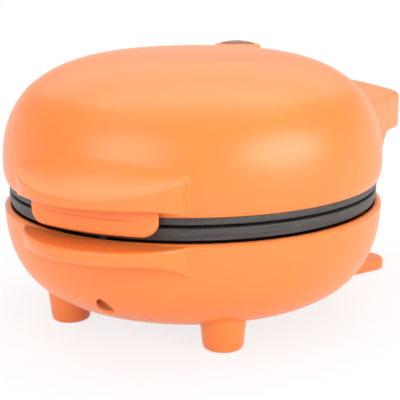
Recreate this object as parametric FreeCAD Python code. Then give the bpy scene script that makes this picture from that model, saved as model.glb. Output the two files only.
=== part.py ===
import FreeCAD, Part
import math
import os

# A small round contact grill: a domed lid hinged to a bowl, two ribbed plates face to face between them.
# Millimetres, +Z up, origin on the floor under the middle. The front lip points to -Y, the hinge to +Y.

# Casing: heights are stacked from the floor
body_radius = 75.0
wall = 2.2
foot_height = 8.9
bowl_depth = 36.6
bowl_side = 28.1
rim_round = 1.4
rim_gap = 0.9
lower_rim_height = 4.4
plate_gap = 1.1
upper_rim_height = 2.6
lid_edge_height = 6.0
lid_edge_inset = 1.5
dome_height = 43.3

# Exponents of the rounded dome and bowl curves
dome_powers = (0.613, 0.8425)
bowl_powers = (0.9625, 0.8634)
curve_points = 13

# Front lips: the lid's over the base's, both drawing in towards their ends
lip_reach = 12.0
lid_lip_end_reach = 3.0
base_lip_end_reach = 1.0
lip_half_angle = 26.5
lip_round = 1.5
lip_undercut = 0.6
lip_top_slope_share = 0.7
lid_lip_crease = 2.0
lid_lip_crease_rise = 5.5
lid_lip_edge = 2.0
lid_lip_edge_drop = 2.7
base_lip_crease = 0.6
base_lip_slope_share = 0.04
base_lip_edge = 5.7
base_lip_edge_drop = 5.2
lip_sections = 9
crease_power = 2.4
edge_power = 5

# Skirt under the lid's lip, with a raised step on its face
skirt_gap = 0.8
skirt_wall = 2.0
skirt_half_width = 25.6
skirt_drop = 6.0
skirt_corner = 5.5
step_half_width = 18.7
step_height = 4.2
step_proud = 0.7

# Hinge
hinge_inset = 2.0
hinge_lift = 5.5
pin_radius = 2.0
pin_clearance = 0.08
pin_end_gap = 0.4
lug_wall = 3.2
web_lift = 1.5
ear_wall = 2.5
lug_width = 8.0
ear_width = 6.0
inner_ear_width = 4.0
side_gap = 0.9

# Hinge block of the lid and hinge posts of the base
block_side_inset = 15.0
block_overhang = 12.0
block_bury = 7.0
block_underside = 4.7
block_side_height = 15.3
block_crown = 6.8
block_corner = 6.0
block_shoulder = 2.2
post_lid_gap = 1.0
post_block_gap = 1.2
post_lean_share = 0.4646
post_top_back = 1.6
post_foot_drop = 18.0
post_lug_gap = 0.7

# Plates
plate_wall = 2.5
plate_inset = 2.0
plate_rim_width = 11.2
dish_run = 4.0
dish_depth = 7.3
upper_dish_depth = 6.6
rib_height = 2.5
rib_width = 4.0
rib_top_width = 2.6
rib_pitch = 11.0
rib_count = 9
rib_margin = 1.5
rim_step = 0.5
rim_step_height = 1.6

# Screws that hold the plates, and their wells
screw_radius = 1.5
screw_head_radius = 2.8
screw_head_height = 2.2
screw_inset = 6.3
plate_boss_radius = 3.2
well_radius = 3.15
well_wall = 1.8
well_shelf = 2.0
well_depth = 9.5
plate_screw_grip = 8.0
lid_boss_radius = 3.2
plate_screw_angles = (270.0, 30.0, 150.0)

# Heating elements, clamps and heat shields
element_radius = 3.3
element_inset = 15.8
element_gap_angle = 36.0
element_tail = 5.0
element_cap_radius = 3.2
element_cap_length = 5.0
centre_boss_radius = 6.0
clamp_sheet = 1.2
clamp_arm_width = 12.0
clamp_overhang = 5.0
shield_sheet = 0.8
shield_inset = 1.8
shield_lip = 4.0
centre_screw_grip = 6.0

# Thermostat and thermal cut-out, hung from the lower shield
thermostat_reach = 23.0
thermostat_radius = 8.0
thermostat_cap_radius = 7.0
thermostat_body = 9.0
thermostat_flange = 1.0
thermostat_flange_width = 12.0
thermostat_flange_length = 30.0
thermostat_screw_spacing = 24.0
thermostat_clearance = 0.5
blade_width = 6.3
blade_sheet = 0.8
blade_length = 7.0
blade_spacing = 8.0
small_screw_radius = 1.1
small_head_radius = 2.1
small_head_height = 1.5
small_screw_tip = 1.2
cutout_length = 18.0
cutout_width = 7.0
cutout_height = 5.0
cutout_inset = 12.0

# Terminal block on the floor of the bowl
terminal_length = 26.0
terminal_width = 15.0
terminal_height = 12.0
terminal_y = -8.0
terminal_screw_spacing = 9.0
terminal_screw_depth = 4.0

# Cord bush in the rear wall of the bowl
bush_rise = 15.1
bush_bore_radius = 3.25
bush_radius = 6.0
bush_flange_radius = 8.5
bush_flange = 1.6
bush_length = 9.0
bush_setback = 1.2

# Front feet
foot_overhang = 5.8138
foot_angle = 50.5425
foot_top_radius = 8.4
foot_low_radius = 7.0
foot_taper_height = 16.0
foot_round = 1.6
foot_boss_radius = 4.0
foot_boss_height = 9.0
foot_screw_bite = 6.0

# Rear stand
stand_overhang = 9.0
stand_front_reach = 10.0
stand_rear_inset = 11.0
stand_front_side = 9.0
stand_plate = 4.4
stand_corner = 9.0
stand_boss_x = 20.0
stand_boss_inset = 14.9
stand_boss_radius = 6.0
stand_pad_x = 46.0
stand_pad_inset = 12.0

# Soft pads
pad_radius = 4.8
pad_height = 2.0
pad_proud = 0.4
pad_clearance = 0.1

# Indicator
lamp_inset = 32.9
lamp_tilt = 3.0
lens_radius = 7.4
lens_height = 2.0
lens_dome = 1.7
lens_stem_radius = 6.0
lens_stem = 7.0
ring_low_radius = 11.0
ring_top_radius = 8.8
ring_height = 1.6
lens_clearance = 0.1
holder_radius = 8.5
holder_height = 5.0
holder_gap = 2.6
bulb_radius = 3.0
bulb_length = 12.0
bulb_clearance = 0.1

overrun = 2.0

# Heights and places that follow from the sizes above
base_rim_z = foot_height + bowl_depth
lower_rim_low = base_rim_z + rim_gap
lower_rim_top = lower_rim_low + lower_rim_height
upper_rim_low = lower_rim_top + plate_gap
lid_edge_z = upper_rim_low + upper_rim_height
wide_z = lid_edge_z + lid_edge_height
crown_z = wide_z + dome_height
hinge_z = wide_z + hinge_lift
hinge_y = body_radius - hinge_inset
block_low = wide_z + block_underside
block_half_width = body_radius - block_side_inset
block_rear_y = body_radius + block_overhang
block_front_y = math.sqrt(body_radius ** 2 - block_half_width ** 2) - block_bury
floor_z = foot_height + wall
bowl_flat_radius = body_radius - bowl_side
lamp_y = body_radius - lamp_inset
bush_z = foot_height + bush_rise
foot_circle = bowl_flat_radius + foot_overhang
foot_x = foot_circle * math.cos(math.radians(foot_angle))
foot_y = foot_circle * math.sin(math.radians(foot_angle))
stand_boss_y = bowl_flat_radius - stand_boss_inset
stand_front_y = stand_boss_y - stand_front_reach
stand_rear_y = body_radius + stand_overhang
stand_rear_half_width = body_radius - stand_rear_inset
stand_front_half_width = stand_boss_x + stand_front_side
plate_rim_radius = body_radius - plate_inset
plate_mouth_radius = plate_rim_radius - plate_rim_width
plate_floor_radius = plate_mouth_radius - dish_run
screw_circle = plate_rim_radius - screw_inset
element_ring = plate_floor_radius - element_inset
cutout_x = element_ring - cutout_inset
shield_radius = plate_floor_radius - shield_inset
lug_radius = pin_radius + pin_clearance + lug_wall
ear_radius = pin_radius + ear_wall
outer_ear_x = block_half_width - wall - side_gap
lug_x = outer_ear_x - ear_width - side_gap
inner_ear_x = lug_x - lug_width - side_gap
post_inner_x = inner_ear_x - inner_ear_width
lower_floor_top = lower_rim_top - dish_depth
lower_floor_low = lower_floor_top - plate_wall
upper_floor_low = upper_rim_low + upper_dish_depth
upper_floor_top = upper_floor_low + plate_wall
shelf_z = lower_rim_low - well_depth
lower_clamp_top = lower_floor_low - 2 * element_radius
lower_clamp_low = lower_clamp_top - clamp_sheet
lower_shield_low = lower_clamp_low - shield_sheet
upper_clamp_low = upper_floor_top + 2 * element_radius
upper_clamp_top = upper_clamp_low + clamp_sheet
upper_shield_top = upper_clamp_top + shield_sheet

X = FreeCAD.Vector(1, 0, 0)
Y = FreeCAD.Vector(0, 1, 0)
Z = FreeCAD.Vector(0, 0, 1)


def at(x, y, z):
    return FreeCAD.Vector(x, y, z)


def cylinder(radius, low, high, x=0, y=0):
    return Part.makeCylinder(radius, high - low, at(x, y, low), Z)


def bar(radius, start, end, y, z):
    return Part.makeCylinder(radius, end - start, at(start, y, z), X)


def box(x0, x1, y0, y1, z0, z1):
    return Part.makeBox(x1 - x0, y1 - y0, z1 - z0, at(x0, y0, z0))


def polygon(points):
    return Part.makePolygon(points + points[:1])


def prism(points, along):
    return Part.Face(polygon(points)).extrude(along)


def turned(edges):
    return Part.Face(Part.Wire(edges)).revolve(at(0, 0, 0), Z, 360)


def lines(points):
    return [Part.LineSegment(a, b).toShape() for a, b in zip(points, points[1:])]


def spin(points):
    return turned(lines([at(r, 0, z) for r, z in points + points[:1]]))


def round_corners(points, radii):
    # Closed outline with each corner turned by an arc that touches both of its sides
    edges = []
    count = len(points)
    cuts = []
    for i in range(count):
        here = points[i]
        before = (points[i - 1] - here).normalize()
        after = (points[(i + 1) % count] - here).normalize()
        half = before.getAngle(after) / 2
        reach = radii[i] / math.tan(half)
        middle = (before + after).normalize()
        peak = here + middle * (radii[i] / math.sin(half) - radii[i])
        cuts.append((here + before * reach, peak, here + after * reach))
    for i in range(count):
        start, peak, end = cuts[i]
        if radii[i] > 0:
            edges.append(Part.Arc(start, peak, end).toShape())
        edges.append(Part.LineSegment(end, cuts[(i + 1) % count][0]).toShape())
    return Part.Wire(edges)


def mirrored(shape):
    return shape.mirror(at(0, 0, 0), X)


def fused(shapes):
    whole = shapes[0].fuse(shapes[1:]) if len(shapes) > 1 else shapes[0]
    return whole.removeSplitter()


def save(name, shape):
    solids = shape.Solids
    shape = solids[0] if len(solids) == 1 else Part.makeCompound(solids)
    shape.exportStep("parts/" + name + ".step")
    print(name, len(solids), "solids", round(shape.Volume), "mm3 valid", shape.isValid())


def dome_z(radius):
    turn = math.asin((radius / body_radius) ** (1 / dome_powers[0]))
    return wide_z + dome_height * math.cos(turn) ** dome_powers[1]


def dome_curve(widest, height):
    # From the crown down to the widest line
    points = []
    for i in range(curve_points):
        turn = math.pi / 2 * i / (curve_points - 1)
        out = widest * math.sin(turn) ** dome_powers[0]
        up = height * max(math.cos(turn), 0) ** dome_powers[1]
        points.append(at(out, 0, wide_z + up))
    curve = Part.BSplineCurve()
    curve.interpolate(Points=points, InitialTangent=X, FinalTangent=Z * -1)
    return curve.toShape()


def dome_solid(widest, height, edge_inset, low):
    # The lid's round body: dome, then an arc that curls in to the edge
    edge = at(widest - edge_inset, 0, lid_edge_z)
    side = at(widest, 0, wide_z)
    curl = (edge_inset ** 2 + lid_edge_height ** 2) / (2 * edge_inset)
    half = math.asin(lid_edge_height / curl) / 2
    middle = at(widest - curl + curl * math.cos(half), 0, wide_z - curl * math.sin(half))
    bottom = [edge, at(widest - edge_inset, 0, low), at(0, 0, low), at(0, 0, wide_z + height)]
    if low == lid_edge_z:
        bottom = bottom[1:]
    return turned([dome_curve(widest, height), Part.Arc(side, middle, edge).toShape()] + lines(bottom))


def bowl_solid(widest, flat, floor, rim, edge_round):
    # The base's round body: flat underside, then a rounded wall up to the rim and its rounded edge
    depth = base_rim_z - floor
    last = math.asin((edge_round / depth) ** (1 / bowl_powers[1]))
    points = []
    for i in range(curve_points):
        turn = math.pi / 2 + (last - math.pi / 2) * i / (curve_points - 1)
        out = flat + (widest - flat) * max(math.cos(turn), 0) ** bowl_powers[0]
        points.append(at(out, 0, base_rim_z - depth * math.sin(turn) ** bowl_powers[1]))
    curve = Part.BSplineCurve()
    curve.interpolate(Points=points, InitialTangent=X, FinalTangent=Z)
    # In two halves, so that each turned face stays simple
    middle = (curve.FirstParameter + curve.LastParameter) / 2
    lower, upper = curve.copy(), curve.copy()
    lower.segment(curve.FirstParameter, middle)
    upper.segment(middle, curve.LastParameter)
    edges = [lower.toShape(), upper.toShape()]
    corner = at(widest - edge_round, 0, rim)
    if edge_round > 0:
        swing = edge_round * (1 - math.sqrt(0.5))
        edges.append(Part.Arc(points[-1], at(widest - swing, 0, rim - swing), corner).toShape())
    else:
        edges += lines([points[-1], corner])
    return turned(edges + lines([corner, at(0, 0, rim), at(0, 0, floor), points[0]]))


def lip_solid(crease_mid, crease_end, edge_mid, edge_end, top_slope, end_reach):
    # Loft through upright sections around the front; the lip draws in towards its ends
    root = body_radius - 2 * wall
    wires = []
    for i in range(lip_sections):
        side = 2 * i / (lip_sections - 1) - 1
        out = body_radius + end_reach + (lip_reach - end_reach) * (1 - side ** 2)
        crease = crease_mid + (crease_end - crease_mid) * abs(side) ** crease_power
        edge = edge_mid + (edge_end - edge_mid) * abs(side) ** edge_power
        turn = math.radians(lip_half_angle) * side
        section = [(root, crease + top_slope * (out - root)), (out, crease),
                   (out - lip_undercut, edge), (root, edge)]
        points = [at(r * math.sin(turn), -r * math.cos(turn), z) for r, z in section]
        wires.append(round_corners(points, (0, lip_round, lip_round, 0)))
    return Part.makeLoft(wires, True, False)


def skirt_solid(lip_edge):
    # A curved flap under the lid's lip, its lower corners rounded, with a raised step along its top
    inner = body_radius + skirt_gap
    outer = inner + skirt_wall
    low = lid_edge_z - skirt_drop
    top = lip_edge + lip_round
    face = round_corners([at(-skirt_half_width, 0, top), at(-skirt_half_width, 0, low),
                          at(skirt_half_width, 0, low), at(skirt_half_width, 0, top)],
                         (0, skirt_corner, skirt_corner, 0))
    window = Part.Face(face).extrude(at(0, -outer - overrun, 0))
    flap = cylinder(outer, low, top).cut(cylinder(inner, low - overrun, top + overrun)).common(window)
    step_window = box(-step_half_width, step_half_width, -outer - step_proud, 0, lip_edge - step_height, top)
    step = cylinder(outer + step_proud, low, top).cut(cylinder(inner, low - overrun, top + overrun))
    return flap.fuse(step.common(step_window))


def block_solid(inset, low, rear_corner):
    # The lid's wide hinge block: crowned across its top, rounded at the rear corners
    half = block_half_width - inset
    side_top = block_low + block_side_height - inset
    shoulder = min(block_shoulder, half)
    corner = [at(-half, block_front_y, side_top - shoulder), at(half, block_front_y, side_top - shoulder)]
    tops = [at(-half + shoulder, block_front_y, side_top), at(half - shoulder, block_front_y, side_top)]
    swing = shoulder * (1 - math.sqrt(0.5))
    left_turn = Part.Arc(corner[0], at(-half + swing, block_front_y, side_top - swing), tops[0]).toShape()
    right_turn = Part.Arc(tops[1], at(half - swing, block_front_y, side_top - swing), corner[1]).toShape()
    crown = Part.Arc(tops[0], at(0, block_front_y, side_top + block_crown), tops[1]).toShape()
    feet = lines([corner[1], at(half, block_front_y, low), at(-half, block_front_y, low), corner[0]])
    section = Part.Face(Part.Wire([left_turn, crown, right_turn] + feet))
    rear = block_rear_y - inset
    plan = round_corners([at(-half, block_front_y, 0), at(half, block_front_y, 0), at(half, rear, 0),
                          at(-half, rear, 0)], (0, 0, rear_corner, rear_corner))
    return section.extrude(at(0, rear - block_front_y, 0)).common(Part.Face(plan).extrude(at(0, 0, crown_z)))


def lug_solid():
    # Right-hand lug: an eye around the pin and a web up into the block's roof and rear wall
    web = box(lug_x - lug_width, lug_x, hinge_y - lug_radius, block_rear_y - wall / 2,
              hinge_z + web_lift, crown_z)
    eye = bar(lug_radius, lug_x - lug_width, lug_x, hinge_y, hinge_z)
    return web.common(block_solid(wall / 2, block_low, block_corner - wall / 2)).fuse(eye)


def lamp_place(shape):
    # Set a piece that stands on the XY plane onto the dome at the indicator
    seat = at(0, lamp_y, dome_z(lamp_y))
    shape.Placement = FreeCAD.Placement(seat, FreeCAD.Rotation(X, -lamp_tilt))
    return shape


def around(shape, angle, radius):
    # A copy of an upright piece, moved from the axis to a place on a circle
    copy = shape.copy()
    turn = math.radians(angle)
    copy.translate(at(radius * math.cos(turn), radius * math.sin(turn), 0))
    return copy


def plate_places(shape):
    return [around(shape, angle, screw_circle) for angle in plate_screw_angles]


def screw(radius, head_radius, head_height, under_head, tip):
    # Pan-head screw driven upwards: head below its seat, shank up to the tip
    head = cylinder(head_radius, under_head - head_height, under_head)
    slot = box(-head_radius, head_radius, -radius / 3, radius / 3,
               under_head - head_height, under_head - head_height / 2)
    return fused([head.cut(slot), cylinder(radius, under_head, tip)])


def lid_shell():
    lip_edge = wide_z - lid_lip_edge
    crease = wide_z + lid_lip_crease
    outer = [dome_solid(body_radius, dome_height, lid_edge_inset, lid_edge_z),
             lip_solid(crease, crease + lid_lip_crease_rise, lip_edge, lip_edge - lid_lip_edge_drop,
                       lip_top_slope_share, lid_lip_end_reach),
             skirt_solid(lip_edge),
             block_solid(0, block_low, block_corner),
             lamp_place(Part.makeCone(ring_low_radius, ring_top_radius, ring_height)),
             lamp_place(cylinder(ring_low_radius, -lens_stem, 0))]
    shell = fused(outer)
    hollow = dome_solid(body_radius - wall, dome_height - wall, lid_edge_inset, lid_edge_z - overrun)
    shell = shell.cut(hollow)
    cavity = block_solid(wall, block_low - overrun, block_corner - wall)
    shell = shell.cut(cavity.cut(cylinder(body_radius, 0, crown_z)))
    inside = dome_solid(body_radius - wall / 2, dome_height - wall / 2, lid_edge_inset, lid_edge_z)
    bosses = [boss.common(inside) for boss in plate_places(cylinder(lid_boss_radius, lid_edge_z, crown_z))]
    shell = fused([shell, lug_solid(), mirrored(lug_solid())] + bosses)
    pin_bore = bar(pin_radius + pin_clearance, inner_ear_x, outer_ear_x - ear_width, hinge_y, hinge_z)
    pilots = plate_places(cylinder(screw_radius, lid_edge_z - overrun, lid_edge_z + plate_screw_grip))
    seat = cylinder(lens_radius + lens_clearance, ring_height - lens_height, ring_height + overrun)
    bore = cylinder(lens_stem_radius + lens_clearance, -lens_stem, ring_height)
    return shell.cut([pin_bore, mirrored(pin_bore), lamp_place(seat), lamp_place(bore)] + pilots)


def post_solid():
    # Right-hand hinge post: two ears that straddle the lid's lug, on a leg that runs down into the bowl
    rear_top = hinge_y + post_top_back
    top = block_low - post_block_gap
    foot = base_rim_z - post_foot_drop
    lug_top = hinge_z - lug_radius - post_lug_gap

    def leg(x0, x1, high):
        rear_high = rear_top - post_lean_share * (top - high)
        rear_low = rear_top - post_lean_share * (top - foot)
        side = [at(x0, 0, foot), at(x0, rear_low, foot), at(x0, rear_high, high), at(x0, 0, high)]
        return prism(side, at(x1 - x0, 0, 0))

    pieces = [leg(post_inner_x, outer_ear_x, lug_top)]
    for x0, x1 in ((outer_ear_x - ear_width, outer_ear_x), (post_inner_x, inner_ear_x)):
        pieces.append(leg(x0, x1, top))
        neck = box(x0, x1, hinge_y - ear_radius, rear_top, lug_top, hinge_z)
        pieces += [neck, bar(ear_radius, x0, x1, hinge_y, hinge_z)]
    clear = cylinder(body_radius + post_lid_gap, base_rim_z, hinge_z + ear_radius + overrun)
    return fused(pieces).cut(clear)


def bush_place(shape):
    # Set a piece that stands on the XY plane into the rear wall of the bowl, its axis along +Y
    turn = math.asin(((base_rim_z - bush_z) / bowl_depth) ** (1 / bowl_powers[1]))
    out = bowl_flat_radius + (body_radius - bowl_flat_radius) * math.cos(turn) ** bowl_powers[0]
    shape.Placement = FreeCAD.Placement(at(0, out - bush_setback, bush_z), FreeCAD.Rotation(X, -90))
    return shape


def base_shell():
    outer_bowl = bowl_solid(body_radius, bowl_flat_radius, foot_height, base_rim_z, rim_round)
    crease = base_rim_z - base_lip_crease
    edge = base_rim_z - base_lip_edge
    lip = lip_solid(crease, crease, edge, edge - base_lip_edge_drop, base_lip_slope_share, base_lip_end_reach)
    shell = fused([outer_bowl, lip, post_solid(), mirrored(post_solid())])
    shell = shell.cut(bowl_solid(body_radius - wall, bowl_flat_radius, floor_z, base_rim_z + overrun, 0))
    tube = cylinder(well_radius + well_wall, foot_height, shelf_z)
    wells = [well.common(outer_bowl) for well in plate_places(tube)]
    bosses = [cylinder(foot_boss_radius, foot_height, floor_z + foot_boss_height, x, y).common(outer_bowl)
              for x, y in fixing_places()]
    shell = fused([shell] + wells + bosses)
    shafts = plate_places(cylinder(well_radius, 0, shelf_z - well_shelf))
    holes = plate_places(cylinder(screw_radius, foot_height, shelf_z + overrun))
    pilots = [cylinder(screw_radius, 0, floor_z + foot_screw_bite, x, y) for x, y in fixing_places()]
    pins = [pin_solid(), mirrored(pin_solid())]
    inlet = bush_place(cylinder(bush_radius, -bush_length, bush_length))
    seat = bush_place(cylinder(bush_flange_radius, 0, bush_length))
    return shell.cut(shafts + holes + pilots + pins + [inlet, seat])


def fixing_places():
    # Where the feet and the stand are screwed to the bowl
    feet = [(foot_x, -foot_y), (-foot_x, -foot_y)]
    return feet + [(stand_boss_x, stand_boss_y), (-stand_boss_x, stand_boss_y)]


def pin_solid():
    return bar(pin_radius, post_inner_x - pin_end_gap, outer_ear_x + pin_end_gap, hinge_y, hinge_z)


def grill_plate(mouth_z, rim_back_z, floor_face, floor_back):
    # A dished plate: flat rim, sloping wall and floor, turned about the axis
    wall_out = plate_wall * (plate_mouth_radius - plate_floor_radius) / abs(floor_face - mouth_z)
    return spin([(0, floor_face), (plate_floor_radius, floor_face), (plate_mouth_radius, mouth_z),
                 (plate_rim_radius, mouth_z), (plate_rim_radius, rim_back_z),
                 (plate_mouth_radius + wall_out, rim_back_z), (plate_floor_radius + wall_out, floor_back),
                 (0, floor_back)])


def ribs(face, tip):
    # Parallel ribs from front to rear, cut off short of the dish's wall
    bounds = cylinder(plate_floor_radius - rib_margin, min(face, tip), max(face, tip))
    rows = []
    for i in range(rib_count):
        x = (i - (rib_count - 1) / 2) * rib_pitch
        section = [at(x - rib_width / 2, -body_radius, face), at(x + rib_width / 2, -body_radius, face),
                   at(x + rib_top_width / 2, -body_radius, tip), at(x - rib_top_width / 2, -body_radius, tip)]
        rows.append(prism(section, at(0, 2 * body_radius, 0)).common(bounds))
    return rows


def lower_plate():
    plate = grill_plate(lower_rim_top, lower_rim_low, lower_floor_top, lower_floor_low)
    bosses = plate_places(cylinder(plate_boss_radius, shelf_z, lower_rim_low))
    centre = cylinder(centre_boss_radius, lower_clamp_top, lower_floor_low)
    plate = fused([plate, centre] + bosses + ribs(lower_floor_top, lower_floor_top + rib_height))
    pilots = plate_places(cylinder(screw_radius, shelf_z - overrun, shelf_z + plate_screw_grip))
    pilots.append(cylinder(screw_radius, lower_clamp_top - overrun, lower_clamp_top + centre_screw_grip))
    groove = cylinder(plate_rim_radius + overrun, lower_rim_low, lower_rim_low + rim_step_height)
    return plate.cut(pilots + [groove.cut(cylinder(plate_rim_radius - rim_step, 0, crown_z))])


def upper_plate():
    plate = grill_plate(upper_rim_low, lid_edge_z, upper_floor_low, upper_floor_top)
    centre = cylinder(centre_boss_radius, upper_floor_top, upper_clamp_low)
    plate = fused([plate, centre] + ribs(upper_floor_low, upper_floor_low - rib_height))
    holes = plate_places(cylinder(screw_radius, 0, crown_z))
    recesses = plate_places(cylinder(screw_head_radius, 0, upper_rim_low + upper_rim_height / 2))
    pilot = cylinder(screw_radius, upper_clamp_low - centre_screw_grip, upper_clamp_low + overrun)
    return plate.cut(holes + recesses + [pilot])


def element(z):
    # An open ring of sheathed tube with two straight tails to the rear
    gap = math.radians(element_gap_angle / 2)
    start = at(element_ring * math.sin(gap), element_ring * math.cos(gap), z)
    ring = Part.makeTorus(element_ring, element_radius, at(0, 0, z), Z)
    reach = element_ring + element_radius + overrun
    wedge = prism([at(0, 0, z - reach), at(reach * math.tan(gap), reach, z - reach),
                   at(-reach * math.tan(gap), reach, z - reach)], at(0, 0, 2 * reach))
    ring = ring.cut(wedge)
    tails = []
    for side in (1, -1):
        joint = Part.makeSphere(element_radius, at(side * start.x, start.y, z))
        tail = Part.makeCylinder(element_radius, element_tail, at(side * start.x, start.y, z), Y)
        tails += [joint, tail]
    return fused([ring] + tails)


def element_caps(z):
    # Insulating caps over the element's two ends
    gap = math.radians(element_gap_angle / 2)
    x = element_ring * math.sin(gap)
    y = element_ring * math.cos(gap) + element_tail
    ends = (at(x, y, z), at(-x, y, z))
    return [Part.makeCylinder(element_cap_radius, element_cap_length, end, Y) for end in ends]


def clamp(low):
    # Three flat arms from the centre boss out under the element
    half = clamp_arm_width / 2
    arm = box(0, element_ring + clamp_overhang, -half, half, low, low + clamp_sheet)
    arms = []
    for angle in plate_screw_angles:
        copy = arm.copy()
        copy.rotate(at(0, 0, 0), Z, angle)
        arms.append(copy)
    hub = cylinder(clamp_arm_width, low, low + clamp_sheet)
    return fused(arms + [hub]).cut(cylinder(screw_radius, 0, crown_z))


def shield(inner, outer, lip_end):
    # A thin dish: flat sheet with its edge turned towards the plate
    low, high = min(inner, outer), max(inner, outer)
    start, end = min(outer, lip_end), max(outer, lip_end)
    sheet = cylinder(shield_radius, low, high)
    edge = cylinder(shield_radius, start, end)
    edge = edge.cut(cylinder(shield_radius - shield_sheet, start - overrun, end + overrun))
    return fused([sheet, edge]).cut(cylinder(screw_radius, 0, crown_z))


def thermostat_holes(radius, low, high):
    half = thermostat_screw_spacing / 2
    return [cylinder(radius, low, high, side * half, thermostat_reach) for side in (1, -1)]


def thermostat():
    # Disc thermostat: its metal cap touches the plate, its flange hangs under the shield
    cap = cylinder(thermostat_cap_radius, lower_shield_low, lower_floor_low, 0, thermostat_reach)
    flange_low = lower_shield_low - thermostat_flange
    half = thermostat_flange_width / 2
    flange = box(-thermostat_flange_length / 2, thermostat_flange_length / 2,
                 thermostat_reach - half, thermostat_reach + half, flange_low, lower_shield_low)
    body_low = flange_low - thermostat_body
    body = cylinder(thermostat_radius, body_low, flange_low, 0, thermostat_reach)
    blades = [box(side * blade_spacing / 2 - blade_sheet / 2, side * blade_spacing / 2 + blade_sheet / 2,
                  thermostat_reach - blade_width / 2, thermostat_reach + blade_width / 2,
                  body_low - blade_length, body_low) for side in (1, -1)]
    return fused([cap, flange, body] + blades).cut(thermostat_holes(small_screw_radius, 0, lower_shield_low))


def thermostat_screws():
    seat = lower_shield_low - thermostat_flange
    tip = lower_clamp_low + small_screw_tip
    piece = screw(small_screw_radius, small_head_radius, small_head_height, seat, tip)
    half = thermostat_screw_spacing / 2
    pieces = []
    for side in (1, -1):
        copy = piece.copy()
        copy.translate(at(side * half, thermostat_reach, 0))
        pieces.append(copy)
    return pieces


def lower_shield():
    sheet = shield(lower_clamp_low, lower_shield_low, lower_clamp_low + shield_lip)
    window = cylinder(thermostat_cap_radius + thermostat_clearance, 0, lower_floor_low, 0, thermostat_reach)
    return sheet.cut([window] + thermostat_holes(small_screw_radius, 0, lower_floor_low))


def cutout():
    body = box(-cutout_width / 2, cutout_width / 2, -cutout_length / 2, cutout_length / 2,
               lower_shield_low - cutout_height, lower_shield_low)
    body.translate(at(cutout_x, 0, 0))
    return body


def terminal_block():
    half = terminal_length / 2
    top = floor_z + terminal_height
    block = box(-half, half, terminal_y - terminal_width / 2, terminal_y + terminal_width / 2, floor_z, top)
    return block.cut(terminal_holes(small_head_radius, top - terminal_screw_depth, top + overrun))


def terminal_holes(radius, low, high):
    half = terminal_screw_spacing / 2
    return [cylinder(radius, low, high, side * half, terminal_y) for side in (1, -1)]


def front_foot():
    # Tapered foot, trimmed to the bowl, with a screw through its web and a recess for the pad
    low = pad_proud
    cone = Part.makeCone(foot_low_radius, foot_top_radius, foot_taper_height, at(0, 0, low), Z)
    rim = min(cone.Edges, key=lambda edge: edge.CenterOfMass.z)
    cone = cone.makeFillet(foot_round, [rim])
    cone.translate(at(foot_x, -foot_y, 0))
    foot = cone.cut(bowl_solid(body_radius, bowl_flat_radius, foot_height, base_rim_z, rim_round))
    web_low = pad_height + screw_head_height
    pocket = cylinder(pad_radius + pad_clearance, 0, web_low, foot_x, -foot_y)
    hole = cylinder(screw_radius, 0, crown_z, foot_x, -foot_y)
    return foot.cut([pocket, hole])


def rear_stand():
    # Flared tongue on the floor behind the bowl, with two bosses up to the bowl's underside
    low = pad_proud
    front = (stand_front_half_width, stand_front_y)
    rear = (stand_rear_half_width, stand_rear_y)
    plan = round_corners([at(-front[0], front[1], low), at(front[0], front[1], low),
                          at(rear[0], rear[1], low), at(-rear[0], rear[1], low)], [stand_corner] * 4)
    plate = Part.Face(plan).extrude(at(0, 0, stand_plate))
    boss = cylinder(stand_boss_radius, low, foot_height, stand_boss_x, stand_boss_y)
    stand = fused([plate, boss, mirrored(boss)])
    cuts = []
    for side in (1, -1):
        x = side * stand_boss_x
        cuts.append(cylinder(screw_radius, 0, crown_z, x, stand_boss_y))
        head_seat = pad_height + screw_head_height
        cuts.append(cylinder(screw_head_radius + pad_clearance, 0, head_seat, x, stand_boss_y))
        cuts.append(cylinder(pad_radius, 0, pad_height, side * stand_pad_x, stand_rear_y - stand_pad_inset))
    return stand.cut(cuts)


def pads():
    places = [(side * foot_x, -foot_y) for side in (1, -1)]
    places += [(side * stand_pad_x, stand_rear_y - stand_pad_inset) for side in (1, -1)]
    return [cylinder(pad_radius, 0, pad_height, x, y) for x, y in places]


def fixing_screws():
    seat = pad_height + screw_head_height
    piece = screw(screw_radius, screw_head_radius, screw_head_height, seat, floor_z + foot_screw_bite)
    pieces = []
    for x, y in fixing_places():
        copy = piece.copy()
        copy.translate(at(x, y, 0))
        pieces.append(copy)
    return pieces


def lens():
    # Lens cap with a stem down through the ring
    cap = cylinder(lens_radius, ring_height - lens_height, ring_height)
    swell = (lens_radius ** 2 + lens_dome ** 2) / (2 * lens_dome)
    ball = Part.makeSphere(swell, at(0, 0, ring_height + lens_dome - swell))
    dome = ball.common(cylinder(lens_radius, ring_height, ring_height + lens_dome))
    stem = cylinder(lens_stem_radius, -lens_stem, ring_height - lens_height)
    hollow = cylinder(bulb_radius + bulb_clearance, -lens_stem, ring_height - lens_height)
    return lamp_place(fused([cap, dome, stem]).cut(hollow))


def lamp_holder():
    # Ring pushed onto the lens stem against the inside of the lid, with a floor under the bulb
    top = -wall - holder_gap
    ring = cylinder(holder_radius, top - holder_height, top)
    ring = ring.cut(cylinder(lens_stem_radius, -lens_stem, top))
    return lamp_place(ring.cut(cylinder(bulb_radius, top - holder_height, top)))


def bulb():
    top = ring_height - lens_height
    body = cylinder(bulb_radius, top - bulb_length, top - bulb_radius)
    tip = Part.makeSphere(bulb_radius, at(0, 0, top - bulb_radius))
    return lamp_place(fused([body, tip]))


def bush():
    body = cylinder(bush_radius, -bush_length + bush_flange, 0)
    flange = cylinder(bush_flange_radius, 0, bush_flange)
    return bush_place(fused([body, flange]).cut(cylinder(bush_bore_radius, -bush_length, bush_length)))


os.makedirs("parts", exist_ok=True)

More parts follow.
